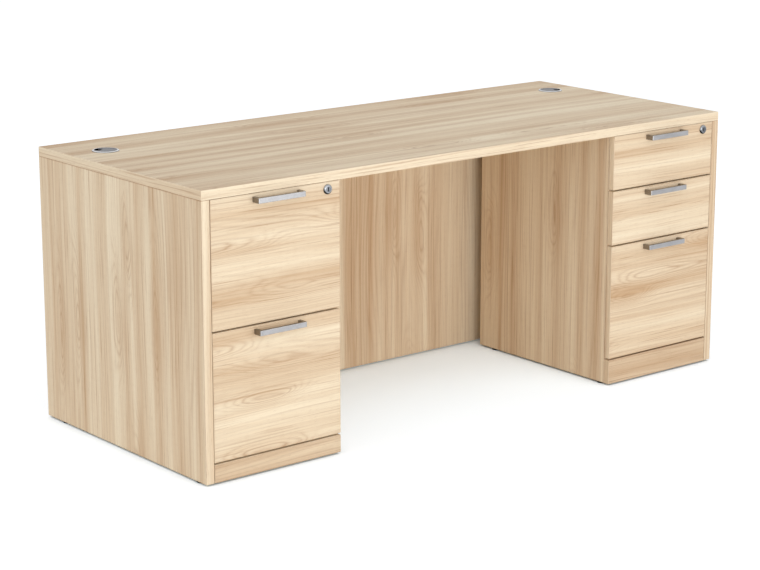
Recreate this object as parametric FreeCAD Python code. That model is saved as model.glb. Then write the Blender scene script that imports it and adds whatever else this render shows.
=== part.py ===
import FreeCAD, Part
import os

# Double pedestal desk: a laminate worktop on two end panels and a recessed modesty panel.
# The left pedestal holds two file drawers, the right one two box drawers over a file drawer.
# Millimetres, +X to the sitter's right, +Y to the visitor's side, +Z up.
# The origin is on the floor, under the middle of the outline with the pulls included.

# Overall sizes
DESK_WIDTH = 1828.8
DESK_DEPTH = 762.0
DESK_HEIGHT = 749.3  # from the panels' lower edges to the working surface
GLIDE_LIFT = 5.0  # the panels' lower edges stand this far above the floor
WORKTOP_T = 25.4
EDGE_EASE = 1.2  # radius on every board edge

# Boards
END_PANEL_T = 24.0
MODESTY_T = 19.0
MODESTY_SETBACK = 604.0  # from the desk's front plane to the modesty panel's front face
PEDESTAL_WIDTH = 401.0  # from the end panel's inner face to the kneehole
PEDESTAL_DEPTH = 557.0  # from the desk's front plane
INNER_PANEL_T = 19.0
PEDESTAL_BACK_T = 16.0
PEDESTAL_BOTTOM_T = 19.0

# Drawer fronts, from the top down; in each stack the bottom front takes the height that is left
FRONT_T = 19.0
FRONT_GAP = 1.5  # between a closed front and the carcass behind it
TOP_REVEAL = 1.0  # between the worktop and the upper fronts
REVEAL = 4.8  # between fronts
SIDE_REVEAL = 2.0  # between a front and the end panel
LEFT_TOP_FRONT_H = 331.5
LEFT_PLINTH_H = 47.5
RIGHT_TOP_FRONT_H = 154.0
RIGHT_MIDDLE_FRONT_H = 154.7
RIGHT_PLINTH_H = 70.5

# Drawer boxes
BOX_WALL_T = 12.0
BOX_RISE = 22.0  # from the front's lower edge to the box's lower edge
FILE_BOX_DROP = 70.0  # from the front's upper edge to a file box's upper edge
SMALL_BOX_DROP = 32.0  # the same for a box drawer
BOX_REAR_CLEARANCE = 17.0  # between the box and the pedestal's back
BOX_BOTTOM_T = 6.0
BOX_BOTTOM_RISE = 12.0  # from the box's lower edge to its bottom board
GROOVE_DEPTH = 6.0
GROOVE_CLEARANCE = 0.2
FILE_RAIL_T = 1.5
FILE_RAIL_FIN = 12.0  # height of the fin that the folders hang on
FILE_RAIL_LIP = 8.0

# Slides: nested steel channels
SLIDE_T = 12.7  # from the carcass to the drawer box
SLIDE_HEIGHT = 46.0
SLIDE_STEEL_T = 1.2
SLIDE_CLEARANCE = 0.4
SLIDE_SETBACK = 3.0  # from the carcass's front edge
SLIDE_RISE = 45.0  # from the box's lower edge to the slide's middle
SLIDE_SCREW_INSET = 40.0  # from a slide's end to its first screw

# Pulls
PULL_LENGTH = 146.0
PULL_PROJECTION = 26.5
PULL_HEIGHT = 13.8
PULL_BAR_T = 8.0
PULL_LEG_T = 9.0
PULL_CORNER_R = 2.5
PULL_EASE = 0.8
PULL_DROP = 15.0  # from the front's upper edge to the pull's middle
PULL_THREAD_DEPTH = 11.0

# Cam locks in the two upper fronts
LOCK_INSET = 39.5  # from the front's right-hand edge
LOCK_DROP = 18.7  # from the front's upper edge
LOCK_BEZEL_R = 13.0
LOCK_BEZEL_T = 5.0
LOCK_BEZEL_ROUND = 4.2
LOCK_BARREL_R = 9.25
LOCK_BARREL_CLEARANCE = 0.25
LOCK_TAIL = 8.0  # barrel behind the front
LOCK_NUT_R = 12.0
LOCK_NUT_T = 4.0
LOCK_PLUG_R = 7.0
LOCK_PLUG_CLEARANCE = 0.1
LOCK_FACE_RECESS = 0.4  # the plug's face lies behind the bezel's
KEYWAY_WIDTH = 3.0
KEYWAY_HEIGHT = 10.5
KEYWAY_DEPTH = 14.0
CAM_T = 2.5
CAM_WIDTH = 12.0
CAM_REACH = 16.0
CAM_STUB_R = 4.0
CAM_BOLT_R = 5.0
CAM_BOLT_T = 2.0
STRIKE_LEG = 10.0
STRIKE_T = 2.0
STRIKE_SEAT = 24.0
STRIKE_WIDTH = 30.0
STRIKE_OFFSET = 4.5  # behind the closed front

# Grommets
GROMMET_FROM_END = 108.0
GROMMET_FROM_REAR = 163.0
GROMMET_HOLE_R = 32.0
GROMMET_CLEARANCE = 0.3
GROMMET_FLANGE_R = 36.0
GROMMET_FLANGE_T = 3.2
GROMMET_REBATE = 1.0  # the flange is let into the worktop this far
GROMMET_WALL = 2.2
GROMMET_BARREL = 23.0
GROMMET_EASE = 1.8
CAP_R = 30.5
CAP_T = 2.6
CAP_SINK = 0.6  # the cap's face lies below the flange's
CAP_LEDGE_T = 2.0
CAP_SLOT_WIDTH = 28.0
CAP_SLOT_DEPTH = 19.0
CAP_SLOT_R = 7.0
LEFT_CAP_ANGLE = 125.0  # the slot's direction from the cap's middle, anticlockwise from +X
RIGHT_CAP_ANGLE = -30.0
NOTCH_WIDTH = 120.0  # cable notch in the modesty panel under each grommet
NOTCH_DEPTH = 70.0

# Levelling glides
GLIDE_R = 10.0
GLIDE_EASE = 0.8
GLIDE_STEM_R = 4.0
GLIDE_STEM = 24.0
GLIDE_INSERT_R = 6.0
GLIDE_INSERT = 26.0
GLIDE_CLEARANCE = 0.1
END_GLIDE_FRONT = 45.0  # from the end panel's front edge
END_GLIDE_REAR = 77.0  # from its rear edge
INNER_GLIDE_FRONT = 20.0
INNER_GLIDE_REAR = 61.0

# Dowels, angle brackets and screws
DOWEL_R = 4.0
DOWEL_LENGTH = 30.0
DOWEL_CLEARANCE = 0.1
DOWEL_SHALLOW = 10.0  # how far a dowel enters a board through its face
DOWEL_END_INSET = 60.0  # from a joint's end to its first dowel
DOWEL_SHORT_INSET = 30.0  # the same in a joint of a pedestal
BRACKET_LEG = 25.0
BRACKET_T = 2.0
BRACKET_WIDTH = 30.0
BRACKET_FROM_BACK = 110.0
BRACKET_FROM_FRONT = 110.0
MODESTY_BRACKET_X = 260.0
SCREW_R = 2.0
SCREW_LENGTH = 15.0
FRONT_SCREW_BITE = 12.0  # how far a screw goes into a drawer front
BOX_SCREW_BITE = 9.0  # how far a slide's screw goes into a box wall
SCREW_HEAD_R = 4.0
SCREW_HEAD_T = 2.0
SCREW_CLEARANCE = 0.1

# Planes that the pieces share
FRONT = (PULL_PROJECTION - DESK_DEPTH) / 2
REAR = FRONT + DESK_DEPTH
FOOT = GLIDE_LIFT
SURFACE = FOOT + DESK_HEIGHT
UNDERSIDE = SURFACE - WORKTOP_T
CARCASS_FRONT = FRONT + FRONT_T + FRONT_GAP
PEDESTAL_REAR = FRONT + PEDESTAL_DEPTH
BACK_FACE = PEDESTAL_REAR - PEDESTAL_BACK_T
MODESTY_FRONT = FRONT + MODESTY_SETBACK
MODESTY_REAR = MODESTY_FRONT + MODESTY_T

# Distances from the middle plane, used on both sides
END_OUTER = DESK_WIDTH / 2
END_INNER = END_OUTER - END_PANEL_T
KNEE_FACE = END_INNER - PEDESTAL_WIDTH
BAY_INNER = KNEE_FACE + INNER_PANEL_T

SIDES = (("left", -1), ("right", 1))
X_AXIS = FreeCAD.Vector(1, 0, 0)
Y_AXIS = FreeCAD.Vector(0, 1, 0)
Z_AXIS = FreeCAD.Vector(0, 0, 1)

pieces = {}  # node name: list of solids
cuts = {}  # node name: list of solids to take out of it


def add(node, *solids):
    pieces.setdefault(node, []).extend(solids)


def cut(node, solid):
    cuts.setdefault(node, []).append(solid)


def block(x, y, z):
    """A box from three (low, high) pairs in any order."""
    (x0, x1), (y0, y1), (z0, z1) = sorted(x), sorted(y), sorted(z)
    return Part.makeBox(x1 - x0, y1 - y0, z1 - z0, FreeCAD.Vector(x0, y0, z0))


def board(x, y, z):
    """A board with every edge eased."""
    solid = block(x, y, z)
    return solid.makeFillet(EDGE_EASE, solid.Edges)


def rod(radius, length, start, axis):
    return Part.makeCylinder(radius, length, FreeCAD.Vector(*start), axis)


def mirrored(side, *distances):
    """Distances from the middle plane as X on one side of the desk."""
    return tuple(side * d for d in distances)


def spread(low, high, inset, count):
    """Evenly spaced places between two ends, the outer ones at the inset."""
    first, last = low + inset, high - inset
    step = (last - first) / (count - 1)
    return [first + step * n for n in range(count)]


def dowel(face, axis, edge_node, face_node):
    """A dowel along axis at a joint plane: shallow in the board that it enters by its face."""
    deep = DOWEL_LENGTH - DOWEL_SHALLOW
    start = FreeCAD.Vector(*face) - axis * deep
    peg = Part.makeCylinder(DOWEL_R, DOWEL_LENGTH, start, axis)
    chamfer = DOWEL_R / 4
    add("joint_dowels", peg.makeChamfer(chamfer, [peg.Edges[0], peg.Edges[2]]))
    hole_start = start - axis * DOWEL_CLEARANCE
    hole_length = DOWEL_LENGTH + 2 * DOWEL_CLEARANCE
    hole = Part.makeCylinder(DOWEL_R + DOWEL_CLEARANCE, hole_length, hole_start, axis)
    cut(edge_node, hole)
    cut(face_node, hole)


def screw(node, seat, axis, length, clamped, threaded):
    """A low-headed screw: its head on seat, its shank along axis through clamped into threaded."""
    seat = FreeCAD.Vector(*seat)
    head = Part.makeCylinder(SCREW_HEAD_R, SCREW_HEAD_T, seat - axis * SCREW_HEAD_T, axis)
    head = head.makeFillet(SCREW_HEAD_T / 2, [rim_towards(head, axis * -1)])
    shank = Part.makeCylinder(SCREW_R, length, seat, axis)
    add(node, head.fuse(shank).removeSplitter())
    hole = Part.makeCylinder(SCREW_R + SCREW_CLEARANCE, length + SCREW_CLEARANCE, seat, axis)
    cut(clamped, hole)
    cut(threaded, hole)


def rim_towards(cylinder, direction):
    """The circular edge of a cylinder that lies furthest along direction."""
    rings = [e for e in cylinder.Edges if isinstance(e.Curve, Part.Circle)]
    return max(rings, key=lambda e: e.Curve.Center.dot(direction))


def low_uprights(solid, axis):
    """The two vertical edges of a block that lie lowest along axis."""
    uprights = [e for e in solid.Edges if abs(e.tangentAt(e.FirstParameter).z) > 0.5]
    return sorted(uprights, key=lambda e: e.BoundBox.Center.dot(axis))[:2]


# Worktop, with a rebated hole for each grommet


def grommet_centre(side):
    return side * (END_OUTER - GROMMET_FROM_END), REAR - GROMMET_FROM_REAR


def make_worktop():
    add("worktop", board((-END_OUTER, END_OUTER), (FRONT, REAR), (UNDERSIDE, SURFACE)))
    for _, side in SIDES:
        x, y = grommet_centre(side)
        cut("worktop", rod(GROMMET_HOLE_R, WORKTOP_T, (x, y, UNDERSIDE), Z_AXIS))
        rebate_r = GROMMET_FLANGE_R + GROMMET_CLEARANCE
        cut("worktop", rod(rebate_r, GROMMET_REBATE, (x, y, SURFACE - GROMMET_REBATE), Z_AXIS))


# End panels and modesty panel


def make_panels():
    for name, side in SIDES:
        end = f"{name}_end_panel"
        add(end, board(mirrored(side, END_INNER, END_OUTER), (FRONT, REAR), (FOOT, UNDERSIDE)))
        middle = side * (END_INNER + END_OUTER) / 2
        for y in spread(FRONT, REAR, DOWEL_END_INSET, 4):
            dowel((middle, y, UNDERSIDE), Z_AXIS, end, "worktop")

    width = (-END_INNER, END_INNER)
    add("modesty_panel", board(width, (MODESTY_FRONT, MODESTY_REAR), (FOOT, UNDERSIDE)))
    middle = (MODESTY_FRONT + MODESTY_REAR) / 2
    for name, side in SIDES:
        x, _ = grommet_centre(side)
        notch_x = (x - NOTCH_WIDTH / 2, x + NOTCH_WIDTH / 2)
        notch_z = (UNDERSIDE - NOTCH_DEPTH, UNDERSIDE)
        cut("modesty_panel", block(notch_x, (MODESTY_FRONT, MODESTY_REAR), notch_z))
        for z in spread(FOOT, UNDERSIDE - NOTCH_DEPTH, DOWEL_END_INSET, 4):
            dowel((side * END_INNER, middle, z), X_AXIS * side, "modesty_panel", f"{name}_end_panel")
    for x in spread(-KNEE_FACE, KNEE_FACE, DOWEL_END_INSET, 4):
        dowel((x, middle, UNDERSIDE), Z_AXIS, "modesty_panel", "worktop")


# Pedestal carcasses: inner panel, back, bottom and plinth


def make_pedestals():
    for name, side in SIDES:
        inner, end, plinth = f"{name}_inner_panel", f"{name}_end_panel", f"{name}_plinth"
        back, bottom = "pedestal_backs", "pedestal_bottoms"
        top = PLINTH_TOPS[name]
        bay = mirrored(side, BAY_INNER, END_INNER)

        knee = mirrored(side, KNEE_FACE, BAY_INNER)
        add(inner, board(knee, (CARCASS_FRONT, PEDESTAL_REAR), (FOOT, UNDERSIDE)))
        add(back, board(bay, (BACK_FACE, PEDESTAL_REAR), (FOOT, UNDERSIDE)))
        add(bottom, board(bay, (CARCASS_FRONT, BACK_FACE), (top - PEDESTAL_BOTTOM_T, top)))
        plinth_x = mirrored(side, KNEE_FACE, END_INNER - SIDE_REVEAL)
        add(plinth, board(plinth_x, (FRONT, CARCASS_FRONT), (FOOT, top)))

        inner_middle = side * (KNEE_FACE + BAY_INNER) / 2
        back_middle = (BACK_FACE + PEDESTAL_REAR) / 2
        bottom_middle = top - PEDESTAL_BOTTOM_T / 2
        for y in spread(CARCASS_FRONT, BACK_FACE, DOWEL_END_INSET, 3):
            dowel((inner_middle, y, UNDERSIDE), Z_AXIS, inner, "worktop")
        for x in spread(BAY_INNER, END_INNER, DOWEL_END_INSET, 2):
            dowel((side * x, CARCASS_FRONT, bottom_middle), Y_AXIS * -1, bottom, plinth)
            dowel((side * x, BACK_FACE, bottom_middle), Y_AXIS, bottom, back)
        for face, axis, panel in ((BAY_INNER, -side, inner), (END_INNER, side, end)):
            for y in spread(CARCASS_FRONT, BACK_FACE, DOWEL_END_INSET, 2):
                dowel((side * face, y, bottom_middle), X_AXIS * axis, bottom, panel)
            for z in spread(top, UNDERSIDE, DOWEL_SHORT_INSET, 3):
                dowel((side * face, back_middle, z), X_AXIS * axis, back, panel)


# Levelling glides under the end panels and the inner panels


def make_glides():
    ends = (FRONT + END_GLIDE_FRONT, REAR - END_GLIDE_REAR)
    inners = (CARCASS_FRONT + INNER_GLIDE_FRONT, PEDESTAL_REAR - INNER_GLIDE_REAR)
    for name, side in SIDES:
        rows = (
            ((END_INNER + END_OUTER) / 2, ends, f"{name}_end_panel"),
            ((KNEE_FACE + BAY_INNER) / 2, inners, f"{name}_inner_panel"),
        )
        for x, places, panel in rows:
            for y in places:
                at = (side * x, y)
                foot = rod(GLIDE_R, GLIDE_LIFT, (*at, 0), Z_AXIS)
                foot = foot.makeChamfer(GLIDE_EASE, [rim_towards(foot, Z_AXIS * -1)])
                stem = rod(GLIDE_STEM_R, GLIDE_STEM, (*at, FOOT), Z_AXIS)
                add("levelling_glides", foot.fuse(stem).removeSplitter())
                sleeve = rod(GLIDE_INSERT_R, GLIDE_INSERT, (*at, FOOT), Z_AXIS)
                bore = rod(GLIDE_STEM_R + GLIDE_CLEARANCE, GLIDE_INSERT, (*at, FOOT), Z_AXIS)
                add("glide_inserts", sleeve.cut(bore))
                cut(panel, rod(GLIDE_INSERT_R, GLIDE_INSERT, (*at, FOOT), Z_AXIS))


# Angle brackets that hold the worktop down


def bracket(at, along, out, panel):
    """An L of sheet steel in the corner under the worktop: one leg on a panel, one on the worktop."""
    node = "angle_brackets"
    origin = FreeCAD.Vector(*at)
    half = along * (BRACKET_WIDTH / 2)
    corner = origin - half
    outline = [(0, 0), (BRACKET_LEG, 0), (BRACKET_LEG, -BRACKET_T), (BRACKET_T, -BRACKET_T)]
    outline += [(BRACKET_T, -BRACKET_LEG), (0, -BRACKET_LEG), (0, 0)]
    wire = Part.makePolygon([corner + out * a + Z_AXIS * b for a, b in outline])
    add(node, Part.Face(wire).extrude(along * BRACKET_WIDTH))
    reach = (BRACKET_LEG + BRACKET_T) / 2
    on_panel = origin + out * BRACKET_T - Z_AXIS * reach
    under_top = origin + out * reach - Z_AXIS * BRACKET_T
    screw("carcass_screws", on_panel, out * -1, SCREW_LENGTH, node, panel)
    screw("carcass_screws", under_top, Z_AXIS, SCREW_LENGTH, node, "worktop")


def make_brackets():
    bay_places = (CARCASS_FRONT + BRACKET_FROM_FRONT, BACK_FACE - BRACKET_FROM_BACK)
    for name, side in SIDES:
        for y in bay_places:
            bracket((side * END_INNER, y, UNDERSIDE), Y_AXIS, X_AXIS * -side, f"{name}_end_panel")
            bracket((side * BAY_INNER, y, UNDERSIDE), Y_AXIS, X_AXIS * side, f"{name}_inner_panel")
    for x in (-MODESTY_BRACKET_X, MODESTY_BRACKET_X):
        bracket((x, MODESTY_FRONT, UNDERSIDE), X_AXIS, Y_AXIS * -1, "modesty_panel")


# Slides: a channel on the carcass, a channel on the box and, under file drawers, one between


def channel(web, lip, half_height, face, inward, y, z):
    """A C section along Y: its web and lips are depths from the carcass face towards the box."""
    t = SLIDE_STEEL_T
    behind = web + t if lip > web else web - t
    h = half_height
    outline = [(web, -h), (lip, -h), (lip, t - h), (behind, t - h)]
    outline += [(behind, h - t), (lip, h - t), (lip, h), (web, h)]
    points = [FreeCAD.Vector(face + inward * d, y, z + dz) for d, dz in outline]
    return Part.Face(Part.makePolygon(points + points[:1])).extrude(Y_AXIS * slide_length())


def bay_depth():
    return BACK_FACE - CARCASS_FRONT


def box_length():
    return bay_depth() + FRONT_GAP - BOX_REAR_CLEARANCE


def slide_length():
    return box_length() - FRONT_GAP - SLIDE_SETBACK


def make_slides(drawer):
    z = drawer["bottom"] + BOX_RISE + SLIDE_RISE
    y = CARCASS_FRONT + SLIDE_SETBACK
    name, side, side_name = drawer["name"], drawer["side"], drawer["side_name"]
    nest = SLIDE_STEEL_T + SLIDE_CLEARANCE
    half = SLIDE_HEIGHT / 2
    middle_web = SLIDE_STEEL_T + SCREW_HEAD_T + SLIDE_CLEARANCE
    rows = (
        (side * BAY_INNER, side, f"{side_name}_inner_panel"),
        (side * END_INNER, -side, f"{side_name}_end_panel"),
    )
    for face, inward, panel in rows:
        add("carcass_slides", channel(0, SLIDE_T - 2 * nest, half, face, inward, y, z))
        box_lip, box_half = nest, half - nest
        if drawer["file"]:
            middle = channel(middle_web, SLIDE_T - nest, half - nest, face, inward, y, z)
            add(f"{name}_middle_slides", middle)
            box_lip, box_half = middle_web + nest, half - 2 * nest
        add(f"{name}_box_slides", channel(SLIDE_T, box_lip, box_half, face, inward, y, z))
        into_box = X_AXIS * inward
        on_carcass = face + inward * SLIDE_STEEL_T
        on_box = face + inward * (SLIDE_T - SLIDE_STEEL_T)
        for screw_y in spread(y, y + slide_length(), SLIDE_SCREW_INSET, 3):
            at = (on_carcass, screw_y, z)
            screw("carcass_screws", at, into_box * -1, SCREW_LENGTH, "carcass_slides", panel)
            at = (on_box, screw_y, z)
            bite = SLIDE_STEEL_T + BOX_SCREW_BITE
            screw(f"{name}_screws", at, into_box, bite, f"{name}_box_slides", f"{name}_box_walls")


# Drawers


PLINTH_TOPS = {"left": FOOT + LEFT_PLINTH_H, "right": FOOT + RIGHT_PLINTH_H}


def stack(side_name, side, upper_fronts):
    """Drawers from the top down, each with its front's lower and upper edges."""
    upper = UNDERSIDE - TOP_REVEAL
    left_over = upper - PLINTH_TOPS[side_name] - REVEAL
    left_over -= sum(height + REVEAL for _, height, _ in upper_fronts)
    rows = []
    for name, height, file in (*upper_fronts, ("bottom", left_over, True)):
        lower = upper - height
        row = {"name": f"{side_name}_{name}_drawer", "side_name": side_name, "side": side}
        rows.append({**row, "bottom": lower, "top": upper, "file": file})
        upper = lower - REVEAL
    return rows


LEFT_UPPER = (("top", LEFT_TOP_FRONT_H, True),)
RIGHT_UPPER = (("top", RIGHT_TOP_FRONT_H, False), ("middle", RIGHT_MIDDLE_FRONT_H, False))
DRAWERS = stack("left", -1, LEFT_UPPER) + stack("right", 1, RIGHT_UPPER)


def front_edges(drawer):
    """X of a front's left and right edges."""
    return sorted(mirrored(drawer["side"], KNEE_FACE, END_INNER - SIDE_REVEAL))


def make_front(drawer):
    x = front_edges(drawer)
    add(f"{drawer['name']}_front", board(x, (FRONT, FRONT + FRONT_T), (drawer["bottom"], drawer["top"])))


def make_box(drawer):
    """Four walls with a groove, and the bottom board that sits in it."""
    name, side = drawer["name"], drawer["side"]
    walls, bottom, front = f"{name}_box_walls", f"{name}_box_bottom", f"{name}_front"
    outer = sorted(mirrored(side, BAY_INNER + SLIDE_T, END_INNER - SLIDE_T))
    inner = (outer[0] + BOX_WALL_T, outer[1] - BOX_WALL_T)
    near = FRONT + FRONT_T
    far = near + box_length()
    low = drawer["bottom"] + BOX_RISE
    high = drawer["top"] - (FILE_BOX_DROP if drawer["file"] else SMALL_BOX_DROP)

    for x in ((outer[0], inner[0]), (inner[1], outer[1])):
        add(walls, board(x, (near, far), (low, high)))
    for y in ((near, near + BOX_WALL_T), (far - BOX_WALL_T, far)):
        add(walls, block(inner, y, (low, high)))

    floor = low + BOX_BOTTOM_RISE
    reach = GROOVE_DEPTH - GROOVE_CLEARANCE
    floor_x = (inner[0] - reach, inner[1] + reach)
    floor_y = (near + BOX_WALL_T - reach, far - BOX_WALL_T + reach)
    add(bottom, block(floor_x, floor_y, (floor, floor + BOX_BOTTOM_T)))
    slack = GROOVE_CLEARANCE
    groove_x = (floor_x[0] - slack, floor_x[1] + slack)
    groove_y = (floor_y[0] - slack, floor_y[1] + slack)
    cut(walls, block(groove_x, groove_y, (floor - slack, floor + BOX_BOTTOM_T + slack)))

    for x in spread(inner[0], inner[1], DOWEL_SHORT_INSET, 2):
        for z in spread(floor + BOX_BOTTOM_T, high, (high - floor) / 4, 2):
            at = (x, near + BOX_WALL_T, z)
            screw(f"{name}_screws", at, Y_AXIS * -1, BOX_WALL_T + FRONT_SCREW_BITE, walls, front)
    if drawer["file"]:
        span = (near + BOX_WALL_T, far - BOX_WALL_T)
        for wall, inward in ((outer[0], 1), (outer[1], -1)):
            add(f"{name}_file_rails", file_rail(wall, inward, span, high))


def file_rail(wall, inward, span, high):
    """A steel rail that saddles a side's upper edge, with a fin for hanging folders."""
    t = FILE_RAIL_T
    cover = BOX_WALL_T + t
    outline = [(0, 0), (BOX_WALL_T, 0), (BOX_WALL_T, -FILE_RAIL_LIP), (cover, -FILE_RAIL_LIP)]
    outline += [(cover, FILE_RAIL_FIN), (BOX_WALL_T, FILE_RAIL_FIN), (BOX_WALL_T, t), (0, t)]
    points = [FreeCAD.Vector(wall + inward * a, span[0], high + b) for a, b in outline]
    profile = Part.Face(Part.makePolygon(points + points[:1]))
    return profile.extrude(Y_AXIS * (span[1] - span[0]))


# Pulls: a flat bar bent into a square U


def make_pull(drawer):
    left, right = front_edges(drawer)
    centre = (left + right) / 2
    z = drawer["top"] - PULL_DROP
    half = PULL_LENGTH / 2
    height = (z - PULL_HEIGHT / 2, z + PULL_HEIGHT / 2)
    outer = block((centre - half, centre + half), (FRONT - PULL_PROJECTION, FRONT), height)
    gap = half - PULL_LEG_T
    bar_back = FRONT - PULL_PROJECTION + PULL_BAR_T
    inner = block((centre - gap, centre + gap), (bar_back, FRONT), height)
    outer = outer.makeFillet(PULL_CORNER_R, low_uprights(outer, Y_AXIS))
    inner = inner.makeFillet(PULL_CORNER_R / 2, low_uprights(inner, Y_AXIS))
    bar = outer.cut(inner)
    eased = [e for e in bar.Edges if not lies_on_front(e)]
    bar = bar.makeFillet(PULL_EASE, eased)

    name = drawer["name"]
    pull, front = f"{name}_pull", f"{name}_front"
    add(pull, bar)
    for x in (centre - half + PULL_LEG_T / 2, centre + half - PULL_LEG_T / 2):
        at = (x, FRONT + FRONT_T, z)
        screw(f"{name}_screws", at, Y_AXIS * -1, FRONT_T + PULL_THREAD_DEPTH, front, pull)


def lies_on_front(edge):
    """True for the edges of a pull that lie on the drawer front."""
    return edge.BoundBox.YMin > FRONT - PULL_EASE / 2


# Cam locks


def make_lock(drawer):
    side_name = drawer["side_name"]
    housing, plug = f"{side_name}_lock_housing", f"{side_name}_lock_plug"
    front = f"{drawer['name']}_front"
    x = front_edges(drawer)[1] - LOCK_INSET
    z = drawer["top"] - LOCK_DROP
    face = FRONT - LOCK_BEZEL_T
    tail = FRONT + FRONT_T + LOCK_TAIL

    bezel = rod(LOCK_BEZEL_R, LOCK_BEZEL_T, (x, face, z), Y_AXIS)
    bezel = bezel.makeFillet(LOCK_BEZEL_ROUND, [rim_towards(bezel, Y_AXIS * -1)])
    barrel = rod(LOCK_BARREL_R, tail - FRONT, (x, FRONT, z), Y_AXIS)
    bore = rod(LOCK_PLUG_R + LOCK_PLUG_CLEARANCE, tail - face, (x, face, z), Y_AXIS)
    add(housing, bezel.fuse(barrel).removeSplitter().cut(bore))
    nut = rod(LOCK_NUT_R, LOCK_NUT_T, (x, FRONT + FRONT_T, z), Y_AXIS)
    nut_bore = rod(LOCK_BARREL_R + LOCK_BARREL_CLEARANCE, LOCK_NUT_T, (x, FRONT + FRONT_T, z), Y_AXIS)
    add(housing, nut.cut(nut_bore))
    cut(front, rod(LOCK_BARREL_R + LOCK_BARREL_CLEARANCE, FRONT_T, (x, FRONT, z), Y_AXIS))

    plug_face = face + LOCK_FACE_RECESS
    core = rod(LOCK_PLUG_R, tail - plug_face, (x, plug_face, z), Y_AXIS)
    stub = rod(CAM_STUB_R, CAM_T, (x, tail, z), Y_AXIS)
    half_width, half_height = KEYWAY_WIDTH / 2, KEYWAY_HEIGHT / 2
    keyway_x = (x - half_width, x + half_width)
    keyway = block(keyway_x, (plug_face, plug_face + KEYWAY_DEPTH), (z - half_height, z + half_height))
    add(plug, core.fuse(stub).removeSplitter().cut(keyway))
    round_end = rod(CAM_WIDTH / 2, CAM_T, (x, tail, z), Y_AXIS)
    arm = block((x - CAM_REACH, x), (tail, tail + CAM_T), (z - CAM_WIDTH / 2, z + CAM_WIDTH / 2))
    cam_bore = rod(CAM_STUB_R + LOCK_PLUG_CLEARANCE, CAM_T, (x, tail, z), Y_AXIS)
    add(plug, arm.fuse(round_end).removeSplitter().cut(cam_bore))
    add(plug, rod(CAM_BOLT_R, CAM_BOLT_T, (x, tail + CAM_T, z), Y_AXIS))

    make_strike(x)


def make_strike(x):
    """An angle under the worktop that the raised cam catches behind."""
    near = FRONT + FRONT_T + STRIKE_OFFSET
    half = STRIKE_WIDTH / 2
    leg = block((x - half, x + half), (near, near + STRIKE_T), (UNDERSIDE - STRIKE_LEG, UNDERSIDE))
    seat = block((x - half, x + half), (near, near + STRIKE_SEAT), (UNDERSIDE - STRIKE_T, UNDERSIDE))
    add("lock_strikes", leg.fuse(seat).removeSplitter())
    middle = near + (STRIKE_SEAT + STRIKE_T) / 2
    for screw_x in (x - half / 2, x + half / 2):
        at = (screw_x, middle, UNDERSIDE - STRIKE_T)
        screw("carcass_screws", at, Z_AXIS, SCREW_LENGTH, "lock_strikes", "worktop")


# Grommets: a ring let into the worktop and a loose cap with a cable slot


def make_grommets():
    for (name, side), angle in zip(SIDES, (LEFT_CAP_ANGLE, RIGHT_CAP_ANGLE)):
        x, y = grommet_centre(side)
        seat = SURFACE - GROMMET_REBATE
        face = seat + GROMMET_FLANGE_T
        flange = rod(GROMMET_FLANGE_R, GROMMET_FLANGE_T, (x, y, seat), Z_AXIS)
        flange = flange.makeFillet(GROMMET_EASE, [rim_towards(flange, Z_AXIS)])
        barrel_r = GROMMET_HOLE_R - GROMMET_CLEARANCE
        barrel = rod(barrel_r, GROMMET_BARREL, (x, y, SURFACE - GROMMET_BARREL), Z_AXIS)
        bore = rod(barrel_r - GROMMET_WALL - CAP_LEDGE_T, DESK_HEIGHT, (x, y, FOOT), Z_AXIS)
        cap_floor = face - CAP_SINK - CAP_T
        pocket = rod(CAP_R + GROMMET_CLEARANCE, CAP_SINK + CAP_T, (x, y, cap_floor), Z_AXIS)
        below = barrel_r - GROMMET_WALL
        ledge_under = cap_floor - CAP_LEDGE_T
        relief = rod(below, ledge_under - FOOT, (x, y, FOOT), Z_AXIS)
        ring = flange.fuse(barrel).removeSplitter()
        add("grommet_rings", ring.cut(bore).cut(pocket).cut(relief))

        cap = rod(CAP_R, CAP_T, (x, y, cap_floor), Z_AXIS)
        slot_x = (x + CAP_R - CAP_SLOT_DEPTH, x + CAP_R + CAP_SLOT_R)
        half = CAP_SLOT_WIDTH / 2
        slot = block(slot_x, (y - half, y + half), (cap_floor, cap_floor + CAP_T))
        cap = cap.cut(slot.makeFillet(CAP_SLOT_R, low_uprights(slot, X_AXIS)))
        cap.rotate(FreeCAD.Vector(x, y, 0), Z_AXIS, angle)
        add(f"{name}_grommet_cap", cap)


def build():
    make_worktop()
    make_panels()
    make_pedestals()
    make_glides()
    make_brackets()
    make_grommets()
    for drawer in DRAWERS:
        make_front(drawer)
        make_box(drawer)
        make_slides(drawer)
        make_pull(drawer)
        if drawer["name"] in ("left_top_drawer", "right_top_drawer"):
            make_lock(drawer)


def finished(node):
    """A node's solids with every hole that meets them taken out."""
    solids = []
    for solid in pieces[node]:
        tools = [c for c in cuts.get(node, []) if c.BoundBox.intersect(solid.BoundBox)]
        shape = solid.cut(tools) if tools else solid
        solids.extend(shape.Solids)
    return solids


def export():
    os.makedirs("parts", exist_ok=True)
    for node in sorted(pieces):
        solids = finished(node)
        shape = Part.makeCompound(solids) if len(solids) > 1 else solids[0]
        bad = [s for s in solids if not s.isValid() or s.Volume <= 0]
        if len(solids) != len(pieces[node]) or bad:
            print("check", node, "made", len(pieces[node]), "left", len(solids), "bad", len(bad))
        shape.exportStep(os.path.join("parts", f"{node}.step"))
    print(len(pieces), "nodes,", sum(len(s) for s in pieces.values()), "solids")


build()
export()
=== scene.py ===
import math

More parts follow.
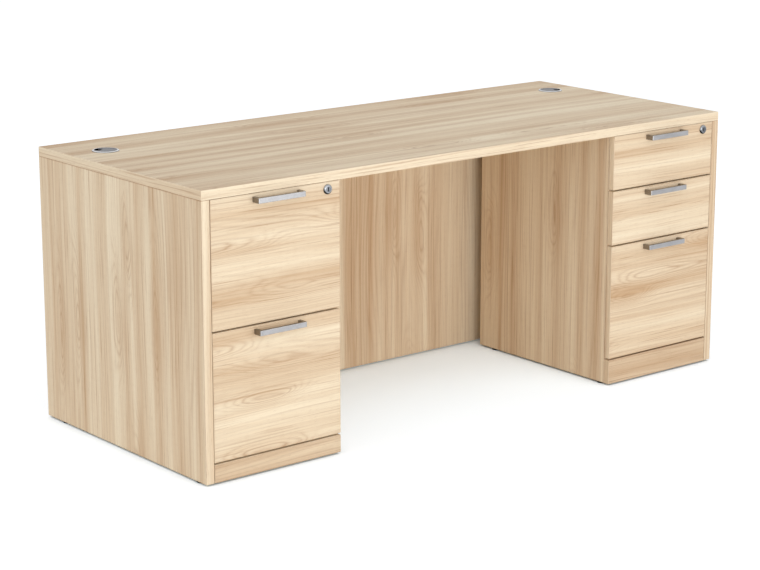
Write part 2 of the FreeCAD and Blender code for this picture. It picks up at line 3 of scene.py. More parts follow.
import bpy
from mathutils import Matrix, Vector


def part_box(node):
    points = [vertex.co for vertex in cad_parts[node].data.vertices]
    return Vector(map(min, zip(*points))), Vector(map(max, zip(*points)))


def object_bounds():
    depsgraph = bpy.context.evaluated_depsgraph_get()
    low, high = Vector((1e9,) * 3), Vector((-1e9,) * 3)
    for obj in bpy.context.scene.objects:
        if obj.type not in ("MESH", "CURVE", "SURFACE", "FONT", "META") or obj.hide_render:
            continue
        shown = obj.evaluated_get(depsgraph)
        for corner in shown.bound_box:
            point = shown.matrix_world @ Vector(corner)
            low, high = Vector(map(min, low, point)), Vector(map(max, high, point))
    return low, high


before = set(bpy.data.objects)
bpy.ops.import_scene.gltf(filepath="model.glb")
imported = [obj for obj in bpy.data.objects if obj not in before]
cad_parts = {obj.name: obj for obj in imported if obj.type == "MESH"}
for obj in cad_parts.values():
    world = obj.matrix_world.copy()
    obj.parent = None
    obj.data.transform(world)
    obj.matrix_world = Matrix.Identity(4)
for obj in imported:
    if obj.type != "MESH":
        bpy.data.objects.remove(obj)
cad_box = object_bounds()

# End panels
# The two full-depth sides of the desk: particle board with a blond wood-grain laminate on both faces.
# The grain runs up the panel, and every edge has a band of the same laminate pressed on and eased.


def step(tree, kind, feeds=None, **settings):
    """One node of a material. Each feed is a plain value or the output of another node."""
    node = tree.nodes.new(kind)
    for name, value in settings.items():
        setattr(node, name, value)
    for socket, value in (feeds or {}).items():
        if isinstance(value, bpy.types.NodeSocket):
            tree.links.new(value, node.inputs[socket])
        else:
            node.inputs[socket].default_value = value
    return node


def worked(tree, operation, *values):
    """One sum on numbers that change over the surface."""
    return step(tree, "ShaderNodeMath", dict(enumerate(values)), operation=operation).outputs[0]


def vectored(tree, operation, *values):
    """One sum on positions or directions."""
    return step(tree, "ShaderNodeVectorMath", dict(enumerate(values)), operation=operation).outputs


def summed(tree, start, *terms):
    """A start value, and values that change over the surface, each times its weight."""
    total = start
    for value, weight in terms:
        total = worked(tree, "MULTIPLY_ADD", value, weight, total)
    return total


def clamped(tree, value, low, high):
    """The value's share of the way from low to high, kept between 0 and 1."""
    feeds = {"Value": value, "From Min": low, "From Max": high}
    return step(tree, "ShaderNodeMapRange", feeds, clamp=True).outputs[0]


def parted(tree, vector):
    """The three numbers of a position or direction."""
    return step(tree, "ShaderNodeSeparateXYZ", {0: vector}).outputs


def joined(tree, *parts):
    """A position from its three numbers."""
    return step(tree, "ShaderNodeCombineXYZ", dict(enumerate(parts))).outputs[0]


def reordered(tree, vector, order):
    """A position or a direction with its axes in another order."""
    part = parted(tree, vector)
    return joined(tree, *[part["xyz".index(axis)] for axis in order])


def cloud(tree, place, stretch, sheet, detail):
    """Noise whose features per metre along each axis are given by stretch."""
    scaled = vectored(tree, "MULTIPLY", place, stretch)[0]
    feeds = {"Vector": scaled, "W": sheet, "Scale": 1.0, "Detail": detail}
    return step(tree, "ShaderNodeTexNoise", feeds, noise_dimensions="4D").outputs[0]


def tinted(tree, share, first, second):
    """A colour that goes from the first to the second with the share."""
    feeds = {0: share, 6: first, 7: second}
    return step(tree, "ShaderNodeMix", feeds, data_type="RGBA").outputs[2]


def swapped(tree, share, first, second):
    """A position that is the first one, or the second where the share is 1."""
    feeds = {0: share, 4: first, 5: second}
    return step(tree, "ShaderNodeMix", feeds, data_type="VECTOR").outputs[1]


def open_group(name, inputs, outputs):
    """An empty node group with its sockets: what it is given, and what it puts out."""
    group = bpy.data.node_groups.new(name, "ShaderNodeTree")
    for label, kind in inputs:
        group.interface.new_socket(label, in_out="INPUT", socket_type="NodeSocket" + kind)
    for label, kind in outputs:
        group.interface.new_socket(label, in_out="OUTPUT", socket_type="NodeSocket" + kind)
    given = group.nodes.new("NodeGroupInput")
    result = group.nodes.new("NodeGroupOutput")
    return group, given.outputs, result.inputs


def make_edge_wear():
    """Finds the eased edges of a piece, where hands and sleeves rub it."""
    FLAT = 0.995
    TURNED = 0.9
    RUBS_PER_METRE = (25.0, 25.0, 25.0)
    RUB_SHEET = 3.0
    inputs = [("Facing", "Vector"), ("Place", "Vector")]
    group, given, result = open_group("edge_wear", inputs, [("Wear", "Float")])
    part = parted(group, vectored(group, "ABSOLUTE", given["Facing"])[0])
    largest = worked(group, "MAXIMUM", part[0], worked(group, "MAXIMUM", part[1], part[2]))
    eased = clamped(group, largest, FLAT, TURNED)
    rubbed = clamped(group, cloud(group, given["Place"], RUBS_PER_METRE, RUB_SHEET, 2.0), 0.35, 0.65)
    group.links.new(worked(group, "MULTIPLY", eased, rubbed), result["Wear"])
    return group


def tongue(group, along, across, blunt, slim, narrow):
    """A smooth tongue that is blunt on its near side, slim on its far side, and 1 at its root."""
    near_reach = worked(group, "MULTIPLY", along, -blunt)
    far_reach = worked(group, "MULTIPLY", along, slim)
    reach = worked(group, "MAXIMUM", near_reach, far_reach)
    side = worked(group, "MULTIPLY", across, narrow)
    away = worked(group, "MULTIPLY_ADD", side, side, worked(group, "MULTIPLY", reach, reach))
    return worked(group, "EXPONENT", worked(group, "MULTIPLY", away, -1.0))


def flames(group, spot, sheet):
    """Narrow tongues scattered over the sheet, one in most cells of a long net."""
    CELLS_PER_METRE = (1.6, 7.0, 0.0)
    EMPTY_CELLS = 0.4
    FADE_AT_RIM = 0.15
    scaled = vectored(group, "MULTIPLY_ADD", spot, CELLS_PER_METRE, sheet)[0]
    feeds = {"Vector": scaled, "Scale": 1.0, "Randomness": 0.9}
    cell = step(group, "ShaderNodeTexVoronoi", feeds, voronoi_dimensions="2D").outputs
    rim = step(group, "ShaderNodeTexVoronoi", feeds, voronoi_dimensions="2D", feature="DISTANCE_TO_EDGE")
    away = parted(group, vectored(group, "SUBTRACT", scaled, cell["Position"])[0])
    shape = tongue(group, away[0], away[1], blunt=5.0, slim=3.0, narrow=5.5)
    chosen = worked(group, "GREATER_THAN", parted(group, cell["Color"])[0], EMPTY_CELLS)
    inside = clamped(group, rim.outputs["Distance"], 0.0, FADE_AT_RIM)
    return worked(group, "MULTIPLY", worked(group, "MULTIPLY", shape, chosen), inside)


def make_laminate():
    """The printed wood figure of the laminate.
    Places and facings come in the order along the grain, across it and through the board."""
    inputs = [(label, "Vector") for label in ("Place", "Facing", "Low", "High", "Heart")]
    inputs += [("Sheet", "Float")]
    inputs += [(label, "Color") for label in ("Cream", "Tan", "Line")]
    outputs = [("Color", "Color"), ("Roughness", "Float"), ("Relief", "Float")]
    group, given, result = open_group("laminate_figure", inputs, outputs)
    sheet = given["Sheet"]

    def print_cloud(at, along, across, detail=1.0):
        """Noise of the print, with its features per metre along the grain and across it."""
        return cloud(group, at, (along, across, 1.0), sheet, detail)

    # Each edge band has its own strip of the print, with the grain along it.
    EDGE_FACING = 0.7
    LONG_STRIP = 3.3
    END_STRIP = 6.7
    place = parted(group, given["Place"])
    facing = parted(group, vectored(group, "ABSOLUTE", given["Facing"])[0])
    on_long = worked(group, "GREATER_THAN", facing[1], EDGE_FACING)
    on_end = worked(group, "GREATER_THAN", facing[0], EDGE_FACING)
    broad = joined(group, place[0], place[1], 0.0)
    long_band = joined(group, place[0], place[2], LONG_STRIP)
    end_band = joined(group, place[1], place[2], END_STRIP)
    spot = swapped(group, on_end, swapped(group, on_long, broad, long_band), end_band)
    on_band = worked(group, "MAXIMUM", on_long, on_end)
    on_face = worked(group, "SUBTRACT", 1.0, on_band)

    # The sheet sways a little from side to side, as the tree grew.
    SWAY_REACH = 0.045
    sway = print_cloud(spot, along=0.8, across=2.5)
    spot_part = parted(group, spot)
    across = summed(group, spot_part[1], (worked(group, "SUBTRACT", sway, 0.5), SWAY_REACH))
    swayed = joined(group, spot_part[0], across, spot_part[2])

    # The growth lines are the height lines of a long smooth slope, so they run straight.
    # They close round the flames and the heart, where the log was cut near its middle.
    LINES_PER_METRE = 75.0
    away = parted(group, vectored(group, "SUBTRACT", swayed, given["Heart"])[0])
    heart = tongue(group, away[0], away[1], blunt=5.5, slim=2.0, narrow=26.0)
    heart = worked(group, "MULTIPLY", heart, worked(group, "COMPARE", away[2], 0.0, 1.0))
    flame = worked(group, "MULTIPLY", flames(group, swayed, sheet), on_face)
    closed = worked(group, "MAXIMUM", heart, flame)
    hill = print_cloud(swayed, along=0.8, across=8.0)
    crest = clamped(group, hill, 0.5, 0.68)
    shiver = print_cloud(swayed, along=2.5, across=170.0)
    ripple = worked(group, "MULTIPLY", print_cloud(swayed, along=6.0, across=40.0, detail=2.0), closed)
    count = summed(group, 0.0, (hill, 13.0), (heart, 6.0), (flame, 5.0), (across, LINES_PER_METRE))
    count = summed(group, count, (shiver, 0.5), (ripple, 2.6))
    ring = {"W": worked(group, "FLOOR", count)}
    own = step(group, "ShaderNodeTexWhiteNoise", ring, noise_dimensions="1D").outputs[0]
    growth = worked(group, "PINGPONG", count, 0.5)
    growth = worked(group, "MULTIPLY", growth, worked(group, "MULTIPLY", growth, 4.0))
    growth = worked(group, "MULTIPLY", growth, summed(group, 0.3, (own, 0.7)))
    shown = worked(group, "MAXIMUM", closed, worked(group, "MULTIPLY", crest, 0.6))
    growth = worked(group, "MULTIPLY", growth, summed(group, 0.16, (shown, 0.84)))

    # Broad cream and tan bands, fine fibres and the short dark pores lie over the growth lines.
    band = clamped(group, print_cloud(swayed, along=0.3, across=17.0, detail=2.0), 0.38, 0.62)
    wide = clamped(group, print_cloud(swayed, along=0.25, across=5.0), 0.35, 0.65)
    narrow = clamped(group, print_cloud(swayed, along=0.9, across=75.0, detail=2.0), 0.3, 0.7)
    rim = worked(group, "MULTIPLY", heart, worked(group, "SUBTRACT", 1.0, heart))
    warmth = summed(group, 0.0, (band, 0.44), (narrow, 0.24), (wide, 0.18), (crest, 0.18))
    warmth = summed(group, warmth, (rim, 0.4), (flame, 0.22), (on_band, -0.12))
    streak = clamped(group, print_cloud(swayed, along=1.6, across=160.0, detail=2.0), 0.55, 0.72)
    hairline = clamped(group, print_cloud(swayed, along=5.0, across=330.0), 0.6, 0.7)
    hairline = worked(group, "MULTIPLY", hairline, summed(group, 0.35, (band, 0.65)))
    fibre = print_cloud(spot, along=14.0, across=900.0, detail=3.0)
    fine = print_cloud(swayed, along=2.0, across=300.0, detail=2.0)
    pores = clamped(group, print_cloud(spot, along=45.0, across=1500.0), 0.62, 0.72)
    color = tinted(group, warmth, given["Cream"], given["Tan"])
    for mark, strength in ((growth, 0.58), (streak, 0.4), (hairline, 0.5), (pores, 0.35)):
        color = tinted(group, worked(group, "MULTIPLY", mark, strength), color, given["Line"])
    feeds = {0: color, "Scale": summed(group, 0.86, (fibre, 0.12), (fine, 0.16))}
    color = step(group, "ShaderNodeVectorMath", feeds, operation="SCALE").outputs[0]

    # A thin dark joint shows on the faces where the edge bands begin.
    BAND_THICKNESS = 0.002
    JOINT_HALF_WIDTH = 0.00025
    JOINT_STRENGTH = 0.4
    low = parted(group, vectored(group, "SUBTRACT", given["Place"], given["Low"])[0])
    high = parted(group, vectored(group, "SUBTRACT", given["High"], given["Place"])[0])
    ends = worked(group, "MINIMUM", low[0], high[0])
    sides = worked(group, "MINIMUM", low[1], high[1])
    inset = worked(group, "MINIMUM", ends, sides)
    joint = worked(group, "COMPARE", inset, BAND_THICKNESS, JOINT_HALF_WIDTH)
    joint = worked(group, "MULTIPLY", worked(group, "MULTIPLY", joint, on_face), JOINT_STRENGTH)
    color = tinted(group, joint, color, given["Line"])
    group.links.new(color, result["Color"])

    # The press plate leaves the pores a little sunk and dull.
    group.links.new(summed(group, 0.46, (pores, 0.14), (fibre, 0.1)), result["Roughness"])
    group.links.new(summed(group, 0.0, (pores, -0.6), (fibre, 0.4), (joint, -0.8)), result["Relief"])
    return group


def start_material(name):
    """A new material: its tree, its Principled shader, and the coordinates of the object that it is on."""
    material = bpy.data.materials.new(name)
    material.use_nodes = True
    tree = material.node_tree
    shader = tree.nodes["Principled BSDF"]
    spot = tree.nodes.new("ShaderNodeTexCoord")
    return material, tree, shader, spot.outputs


def use_group(tree, group, feeds):
    """Places a node group in a material with its own values."""
    return step(tree, "ShaderNodeGroup", feeds, node_tree=group).outputs


def add_bump(tree, shader, height, depth):
    """Relief of the given depth in metres."""
    bump = step(tree, "ShaderNodeBump", {"Height": height, "Distance": depth})
    tree.links.new(bump.outputs[0], shader.inputs["Normal"])


def dress(names, material):
    """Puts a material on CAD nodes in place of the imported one."""
    for name in names:
        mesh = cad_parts[name].data
        mesh.materials.clear()
        mesh.materials.append(material)


def srgb(red, green, blue):
    """A colour as it looks on a screen, 0 to 255, as the linear value that a shader takes."""
    parts = [value / 255 for value in (red, green, blue)]
    linear = [p / 12.92 if p <= 0.04045 else ((p + 0.055) / 1.055) ** 2.4 for p in parts]
    return (*linear, 1.0)


edge_wear = make_edge_wear()
laminate_figure = make_laminate()
BLOND = (srgb(252, 239, 213), srgb(207, 175, 140), srgb(165, 118, 78))
RUBBED = srgb(250, 238, 216)
RUBBED_STRENGTH = 0.35
LAMINATE_GLOSS = 0.06
PORE_DEPTH = 0.0002
NO_HEART = (0.0, 0.0, 9.0)
NO_BOX = (Vector((-9.0, -9.0, -9.0)), Vector((9.0, 9.0, 9.0)))


def make_board(name, order, sheet, box=NO_BOX, heart=NO_HEART, tones=BLOND, seam_shade=0.0):
    """Laminate for one board. Order names the axes along the grain, across it and through the board.
    Heart is the root of a placed tongue in the figure, and tones are its pale, warm and dark colours.
    Seam shade is the strength of a painted shade on its upper eased edges, where another board lies on
    them."""
    material, tree, shader, spot = start_material(name)
    facing = reordered(tree, spot["Normal"], order)
    low, high = [[corner["xyz".index(axis)] for axis in order] for corner in box]
    feeds = {"Place": reordered(tree, spot["Object"], order), "Facing": facing, "Low": low, "High": high}
    feeds.update({"Sheet": sheet, "Heart": heart, "Cream": tones[0], "Tan": tones[1], "Line": tones[2]})
    figure = use_group(tree, laminate_figure, feeds)
    wear = use_group(tree, edge_wear, {"Facing": facing, "Place": spot["Object"]})["Wear"]
    color = tinted(tree, worked(tree, "MULTIPLY", wear, RUBBED_STRENGTH), figure["Color"], RUBBED)
    # Painted shade: the upper eased edges are darkened where another board lies on them.
    if seam_shade:
        upper = clamped(tree, parted(tree, spot["Normal"])[2], 0.1, 0.5)
        color = tinted(tree, worked(tree, "MULTIPLY", upper, seam_shade), color, tones[2])
    tree.links.new(color, shader.inputs["Base Color"])
    tree.links.new(summed(tree, figure["Roughness"], (wear, -0.1)), shader.inputs["Roughness"])
    shader.inputs["Specular IOR Level"].default_value = LAMINATE_GLOSS
    add_bump(tree, shader, figure["Relief"], PORE_DEPTH)
    return material


def lay_board(node, order, sheet, heart=NO_HEART, tones=BLOND, seam_shade=0.0):
    """Laminate for the one board of a CAD node, with a joint along its edge bands."""
    dress([node], make_board(f"{node}_laminate", order, sheet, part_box(node), heart, tones, seam_shade))


# The boards under the worktop get a painted shade along their upper eased edges.
SHADE_UNDER_WORKTOP = 0.8
lay_board("left_end_panel", "zyx", 1.0, seam_shade=SHADE_UNDER_WORKTOP)
lay_board("right_end_panel", "zyx", 2.0, seam_shade=SHADE_UNDER_WORKTOP)

# Inner panels, backs and bottoms
# The kneehole side, the back and the floor of each pedestal, in the same laminated board.
# The grain runs up the panels and backs and along the bottoms; dowels hold the boards together.
lay_board("left_inner_panel", "zyx", 3.0, seam_shade=SHADE_UNDER_WORKTOP)
lay_board("right_inner_panel", "zyx", 4.0, seam_shade=SHADE_UNDER_WORKTOP)
dress(["pedestal_backs"], make_board("pedestal_backs_laminate", "zxy", 5.0))
dress(["pedestal_bottoms"], make_board("pedestal_bottoms_laminate", "yxz", 6.0))

# Modesty panel
# The board between the end panels that closes the kneehole, almost down to the floor, set in from the rear.
# The grain runs up it, as on the panels that it meets.
lay_board("modesty_panel", "zxy", 47.0, seam_shade=SHADE_UNDER_WORKTOP)

# Plinths
# A fixed strip under each stack of drawers, cut from a deeper toned part of the same board as the fronts.
# The grain runs along it, and it is doweled to the panels on both sides.
DEEP_BLOND = (srgb(237, 219, 191), srgb(195, 161, 127), srgb(152, 108, 71))
lay_board("left_plinth", "xzy", 8.0, tones=DEEP_BLOND)
lay_board("right_plinth", "xzy", 9.0, tones=DEEP_BLOND)

# Dowels, brackets and screws
# Beech dowels locate the boards of the carcass, and pressed steel angles hold the worktop down.
# The angles and all the screws are zinc plated: a pale grey skin with a faint crystal pattern.


def make_metal_grain():
    """The fine lines that drawing, turning or brushing leaves along the first axis, and the cloudy skin."""
    LINES_PER_METRE = (45.0, 2600.0, 2600.0)
    PATCHES_PER_METRE = (28.0, 40.0, 40.0)
    SCRATCHES_PER_METRE = (150.0, 3800.0, 3800.0)
    inputs = [("Place", "Vector"), ("Sheet", "Float")]
    outputs = [("Brush", "Float"), ("Bloom", "Float"), ("Scratch", "Float")]
    group, given, result = open_group("metal_grain", inputs, outputs)
    place = given["Place"]
    sheet = given["Sheet"]
    group.links.new(cloud(group, place, LINES_PER_METRE, sheet, 2.0), result["Brush"])
    bloom = clamped(group, cloud(group, place, PATCHES_PER_METRE, sheet, 3.0), 0.3, 0.7)
    group.links.new(bloom, result["Bloom"])
    scratch = clamped(group, cloud(group, place, SCRATCHES_PER_METRE, sheet, 1.0), 0.68, 0.76)
    group.links.new(scratch, result["Scratch"])
    return group


metal_grain = make_metal_grain()
CRYSTALS_PER_METRE = 160.0
BRUSH_DEPTH = 0.00003


def make_metal(name, order, sheet, dull, bright, rough, spangle=0.0, shade=None):
    """An unplated or plated metal. Dull and bright are its two tones, and spangle the strength of its
    crystals. Shade is a painted shade, a third tone that stands for darker light and reflections on faces
    turned to one side: its direction, where it begins and ends, and its colour."""
    material, tree, shader, spot = start_material(name)
    place = reordered(tree, spot["Object"], order)
    grain = use_group(tree, metal_grain, {"Place": place, "Sheet": sheet})
    wear = use_group(tree, edge_wear, {"Facing": spot["Normal"], "Place": spot["Object"]})["Wear"]
    tone = summed(tree, wear, (grain["Brush"], 0.6), (grain["Bloom"], 0.4))
    if spangle:
        feeds = {"Vector": spot["Object"], "Scale": CRYSTALS_PER_METRE}
        crystal = parted(tree, step(tree, "ShaderNodeTexVoronoi", feeds).outputs["Color"])[0]
        tone = summed(tree, tone, (worked(tree, "SUBTRACT", crystal, 0.5), spangle))
    color = tinted(tree, clamped(tree, tone, 0.0, 1.0), dull, bright)
    if shade:
        direction, begin, end, dark = shade
        turned = vectored(tree, "DOT_PRODUCT", spot["Normal"], direction)["Value"]
        color = tinted(tree, clamped(tree, turned, begin, end), color, dark)
    tree.links.new(color, shader.inputs["Base Color"])
    matt = summed(tree, rough, (grain["Brush"], 0.12), (grain["Scratch"], 0.12), (grain["Bloom"], 0.08))
    tree.links.new(matt, shader.inputs["Roughness"])
    shader.inputs["Metallic"].default_value = 1.0
    add_bump(tree, shader, worked(tree, "SUBTRACT", grain["Brush"], grain["Scratch"]), BRUSH_DEPTH)
    return material


ZINC = (srgb(150, 153, 156), srgb(205, 208, 211))
zinc = make_metal("zinc_plate", "yxz", 21.0, *ZINC, rough=0.3, spangle=0.5)
dress(["angle_brackets", "carcass_screws", "glide_inserts", "lock_strikes"], zinc)
BEECH = (srgb(222, 184, 142), srgb(196, 150, 106), srgb(158, 112, 74))
dress(["joint_dowels"], make_board("dowel_beech", "xyz", 22.0, tones=BEECH))

# Levelling glides
# A moulded black nylon foot with a threaded stem, screwed up into a steel sleeve in the end of each panel.
# The foot turns by hand to level the desk and slides on the floor.


def make_moulded_skin():
    """The fine pebbled skin that an etched mould gives plastic, and the marks of handling."""
    PEBBLES_PER_METRE = (1500.0, 1500.0, 1500.0)
    SMUDGES_PER_METRE = (70.0, 70.0, 70.0)
    inputs = [("Place", "Vector"), ("Sheet", "Float")]
    outputs = [("Pebble", "Float"), ("Smudge", "Float")]
    group, given, result = open_group("moulded_skin", inputs, outputs)
    place = given["Place"]
    sheet = given["Sheet"]
    group.links.new(cloud(group, place, PEBBLES_PER_METRE, sheet, 2.0), result["Pebble"])
    smudge = clamped(group, cloud(group, place, SMUDGES_PER_METRE, sheet, 3.0), 0.35, 0.65)
    group.links.new(smudge, result["Smudge"])
    return group


moulded_skin = make_moulded_skin()
MOULDED_BLACK = srgb(14, 14, 15)
MOULDED_GLOSS = 0.3
PEBBLE_DEPTH = 0.00008
UPRIGHT_FACING = 0.3
BLACK_SHADE_DULLNESS = 0.5


def make_moulded(name, sheet, deep, pale, rough, metallic=0.0, black_shade_floor=None):
    """Moulded plastic, or plastic with a metal finish. Given a height, the finish is only on the faces
    above it that aren't upright, and the rest is dull black: painted shade for hollows such as the pocket
    and the slot of a grommet."""
    material, tree, shader, spot = start_material(name)
    skin = use_group(tree, moulded_skin, {"Place": spot["Object"], "Sheet": sheet})
    wear = use_group(tree, edge_wear, {"Facing": spot["Normal"], "Place": spot["Object"]})["Wear"]
    tone = summed(tree, 0.0, (skin["Pebble"], 0.7), (skin["Smudge"], 0.3), (wear, 0.3))
    color = tinted(tree, clamped(tree, tone, 0.0, 1.0), deep, pale)
    matt = summed(tree, rough, (skin["Pebble"], 0.1), (skin["Smudge"], 0.08))
    # Below the given height and on upright faces the colour turns dull black: painted shade.
    if black_shade_floor is not None:
        low = worked(tree, "LESS_THAN", parted(tree, spot["Object"])[2], black_shade_floor)
        upright = worked(tree, "COMPARE", parted(tree, spot["Normal"])[2], 0.0, UPRIGHT_FACING)
        black_shade = worked(tree, "MAXIMUM", low, upright)
        color = tinted(tree, black_shade, color, MOULDED_BLACK)
        matt = summed(tree, matt, (black_shade, BLACK_SHADE_DULLNESS))
    tree.links.new(color, shader.inputs["Base Color"])
    tree.links.new(matt, shader.inputs["Roughness"])
    shader.inputs["Metallic"].default_value = metallic
    shader.inputs["Specular IOR Level"].default_value = MOULDED_GLOSS
    add_bump(tree, shader, skin["Pebble"], PEBBLE_DEPTH)
    return material


NYLON = (MOULDED_BLACK, srgb(34, 34, 36))
dress(["levelling_glides"], make_moulded("glide_nylon", 31.0, *NYLON, rough=0.45))

# Worktop
# One 25 mm board over both pedestals, with a grommet hole near each rear corner.
# The grain runs along its length and along the bands on its four edges.
lay_board("worktop", "xyz", 10.0)

# Cable grommets
# A moulded ring with a silver finish pressed into each hole, and a loose grey cap that turns in it.
# The finish is only on the flat faces of the flange. The sleeve below and the upright walls are dull black,
# a painted shade in the pocket and the slot. The cap has a slot for the cables.
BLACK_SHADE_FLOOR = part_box("worktop")[1].z + 0.0005
SILVER = (srgb(196, 197, 200), srgb(232, 233, 235))
silver = make_moulded("grommet_silver", 41.0, *SILVER, rough=0.3, metallic=0.7, black_shade_floor=BLACK_SHADE_FLOOR)
dress(["grommet_rings"], silver)
GREY = (srgb(114, 114, 117), srgb(142, 142, 146))
dress(["left_grommet_cap", "right_grommet_cap"], make_moulded("grommet_grey", 42.0, *GREY, rough=0.42))

# Drawer slides
# Zinc plated steel channels in pairs: one on the carcass, one on the drawer box, and on the file drawers
# a middle channel between them for full extension. The channels are rolled along their length.
DRAWERS = ["left_top", "left_bottom", "right_top", "right_middle", "right_bottom"]
FILE_DRAWERS = ["left_top", "left_bottom", "right_bottom"]
dress(["carcass_slides"], zinc)
dress([f"{drawer}_drawer_box_slides" for drawer in DRAWERS], zinc)
dress([f"{drawer}_drawer_middle_slides" for drawer in FILE_DRAWERS], zinc)

# Drawer boxes
# Four foil-wrapped walls with a groove near their lower edge, and a thin bottom board slid into it.
# The foil is a paler, quieter print than the laminate outside, with the grain along each wall.
FOIL = (srgb(240, 226, 204), srgb(226, 207, 180), srgb(200, 176, 146))
wall_foil = make_board("box_foil", "yxz", 51.0, tones=FOIL)
dress([f"{drawer}_drawer_box_walls" for drawer in DRAWERS], wall_foil)
base_foil = make_board("box_base_foil", "yxz", 52.0, tones=FOIL)
dress([f"{drawer}_drawer_box_bottom" for drawer in DRAWERS], base_foil)

# Rails for hanging folders
# Two plated steel rails along each file drawer, folded over the tops of the side walls.
# The hooks of the hanging folders slide along them.
dress([f"{drawer}_drawer_file_rails" for drawer in FILE_DRAWERS], zinc)

# Drawer fronts
# Five loose fronts that cover the carcass, with the grain across them, cut one above the other.
# Each has bands on its four edges and is screwed on from inside the drawer box.
lay_board("left_top_drawer_front", "xzy", 511.0, heart=(-0.63, 0.475, 0.0))
lay_board("left_bottom_drawer_front", "xzy", 112.0, heart=(-0.66, 0.28, 0.0))
lay_board("right_top_drawer_front", "xzy", 313.0)
lay_board("right_middle_drawer_front", "xzy", 514.0)
lay_board("right_bottom_drawer_front", "xzy", 315.0, heart=(0.65, 0.31, 0.0))
dress([f"{drawer}_drawer_screws" for drawer in DRAWERS], zinc)

# Pulls
# A square bar with a short leg at each end, cast in zinc and plated in satin nickel.
# It is brushed along its length, and two screws from inside the front hold it.
NICKEL = (srgb(146, 145, 146), srgb(182, 181, 182))
BACKWARDS = (0.0, 1.0, 0.0)
# Faces turned away from the front get a painted shade and a painted brownish reflection of the wood.
nickel_painted_shade = (BACKWARDS, -0.9, -0.6, srgb(144, 136, 127))
nickel = make_metal("satin_nickel", "xzy", 61.0, *NICKEL, rough=0.28, shade=nickel_painted_shade)
dress([f"{drawer}_drawer_pull" for drawer in DRAWERS], nickel)

# Locks
# A chromed cam lock in the top front of each stack: a domed bezel, and a plug with the keyway in it.
# The plug turns the cam up behind a plated strike under the worktop. The underside of the bezel has a
# painted dark reflection.
DOWNWARDS = (-0.25, 0.0, -0.97)
bezel_painted_reflection = (DOWNWARDS, -0.05, 0.4, srgb(44, 44, 45))
BEZEL = (srgb(114, 116, 119), srgb(166, 168, 171))
bezel = make_metal("lock_bezel", "yxz", 71.0, *BEZEL, rough=0.12, shade=bezel_painted_reflection)
dress(["left_lock_housing", "right_lock_housing"], bezel)
PLUG = (srgb(98, 100, 104), srgb(138, 140, 144))
dress(["left_lock_plug", "right_lock_plug"], make_metal("lock_plug", "yxz", 72.0, *PLUG, rough=0.16))

# Studio
# A pale floor, soft light from the front, the left and all round, and the camera of the photograph.
# The floor and the air look white, and the floor keeps the shadow of the desk.
bpy.ops.object.select_all(action="DESELECT")
bpy.ops.mesh.primitive_circle_add(vertices=96, radius=30.0, fill_type="NGON")
floor = bpy.context.object
floor.name = "studio_floor"


def seen_share(tree):
    """1 for the rays that see the background straight, in a mirror or through glass."""
    rays = tree.nodes.new("ShaderNodeLightPath").outputs
    seen = worked(tree, "MAXIMUM", rays["Is Camera Ray"], rays["Is Glossy Ray"])
    return worked(tree, "MAXIMUM", seen, rays["Is Transmission Ray"])


def open_share(tree, distance):
    """How far the paper lies open to the air, as seen from each point within a distance."""
    return step(tree, "ShaderNodeAmbientOcclusion", {"Distance": distance}, samples=6).outputs["AO"]


# The paper bounces plain warm light. Seen, it is white, and cool close to the desk,
# against the light that comes off the boards.
PAPER_BOUNCE = (0.905, 0.885, 0.855, 1.0)
PAPER_WHITE = (0.89, 0.895, 0.9, 1.0)
PAPER_COOL = (0.84, 0.94, 1.0, 1.0)
DESK_REACH = 1.0
material, tree, shader, spot = start_material("floor_paper")
seen = seen_share(tree)
open_air = open_share(tree, DESK_REACH)
shown = tinted(tree, clamped(tree, open_air, 0.7, 0.4), PAPER_WHITE, PAPER_COOL)
tree.links.new(tinted(tree, seen, PAPER_BOUNCE, shown), shader.inputs["Base Color"])
shader.inputs["Roughness"].default_value = 0.9
shader.inputs["Specular IOR Level"].default_value = 0.0

# Where it is seen, it also glows a little, most in the kneehole and not in the gap under the panels.
GLOW_WHITE = (0.95, 1.0, 1.06, 1.0)
NEAR_LIFT = 0.5
OPEN_FADE = -0.1
GAP_REACH = 0.08
near_lift = clamped(tree, open_air, 0.0, 0.22)
open_fade = clamped(tree, open_air, 0.35, 0.7)
lift = summed(tree, 0.0, (near_lift, NEAR_LIFT), (open_fade, OPEN_FADE))
lift = worked(tree, "MULTIPLY", lift, clamped(tree, open_share(tree, GAP_REACH), 0.15, 0.75))
feeds = {"Color": GLOW_WHITE, "Strength": worked(tree, "MULTIPLY", seen, lift)}
glow = step(tree, "ShaderNodeEmission", feeds)
paper = step(tree, "ShaderNodeAddShader", {0: shader.outputs[0], 1: glow.outputs[0]})
tree.links.new(paper.outputs[0], tree.nodes["Material Output"].inputs["Surface"])
floor.data.materials.append(material)

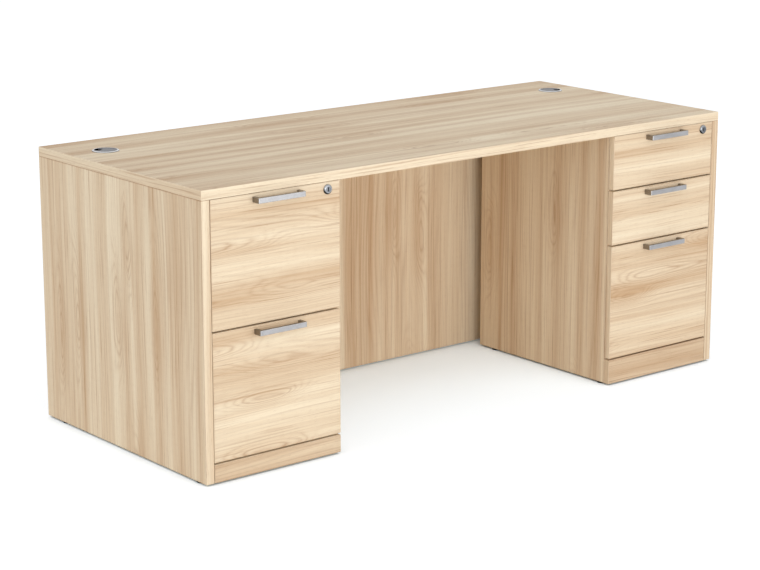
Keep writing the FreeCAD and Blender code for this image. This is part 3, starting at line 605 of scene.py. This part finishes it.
AMBIENT = 0.66
WHITE = (1.0, 1.0, 1.0, 1.0)
world = bpy.data.worlds.new("studio_air")
bpy.context.scene.world = world
world.use_nodes = True
tree = world.node_tree
dim = step(tree, "ShaderNodeBackground", {"Color": WHITE, "Strength": AMBIENT})
white = step(tree, "ShaderNodeBackground", {"Color": WHITE, "Strength": 1.0})
air = step(tree, "ShaderNodeMixShader", {0: seen_share(tree), 1: dim.outputs[0], 2: white.outputs[0]})
tree.links.new(air.outputs[0], tree.nodes["World Output"].inputs["Surface"])


def add_lamp(name, kind, strength, place, towards, **settings):
    """A lamp that shines along a direction and isn't seen itself."""
    lamp = bpy.data.lights.new(name, kind)
    lamp.energy = strength
    for setting, value in settings.items():
        setattr(lamp, setting, value)
    holder = bpy.data.objects.new(name, lamp)
    holder.location = place
    holder.rotation_euler = Vector(towards).to_track_quat("-Z", "Y").to_euler()
    holder.visible_camera = False
    bpy.context.scene.collection.objects.link(holder)


# A wide softbox stands at the height of the desk and lights the fronts and the kneehole evenly.
SOFTBOX_POWER = 39.5
SOFTBOX_PLACE = (-0.2, cad_box[0].y - 3.0, 0.75)
SOFTBOX = {"shape": "RECTANGLE", "size": 3.6, "size_y": 1.4}
add_lamp("front_softbox", "AREA", SOFTBOX_POWER, SOFTBOX_PLACE, (0.0, 1.0, 0.0), **SOFTBOX)

# A broad light from the left and above lifts the end panel.
LEFT_POWER = 0.66
LEFT_PLACE = (-4.0, 0.0, 2.0)
LEFT_SPREAD = math.radians(90.0)
add_lamp("left_light", "SUN", LEFT_POWER, LEFT_PLACE, (0.9, 0.2, -0.4), angle=LEFT_SPREAD)

CAMERA_PLACE = (-3.88179, -4.70481, 1.82577)
CAMERA_TILT = 76.0054
CAMERA_HEADING = -39.0934
view = bpy.data.cameras.new("photo_camera")
view.sensor_width = 36.0
view.lens = 104.918
camera = bpy.data.objects.new("photo_camera", view)
camera.location = CAMERA_PLACE
camera.rotation_euler = (math.radians(CAMERA_TILT), 0.0, math.radians(CAMERA_HEADING))
bpy.context.scene.collection.objects.link(camera)
bpy.context.scene.camera = camera
bpy.context.scene.view_settings.view_transform = "Standard"
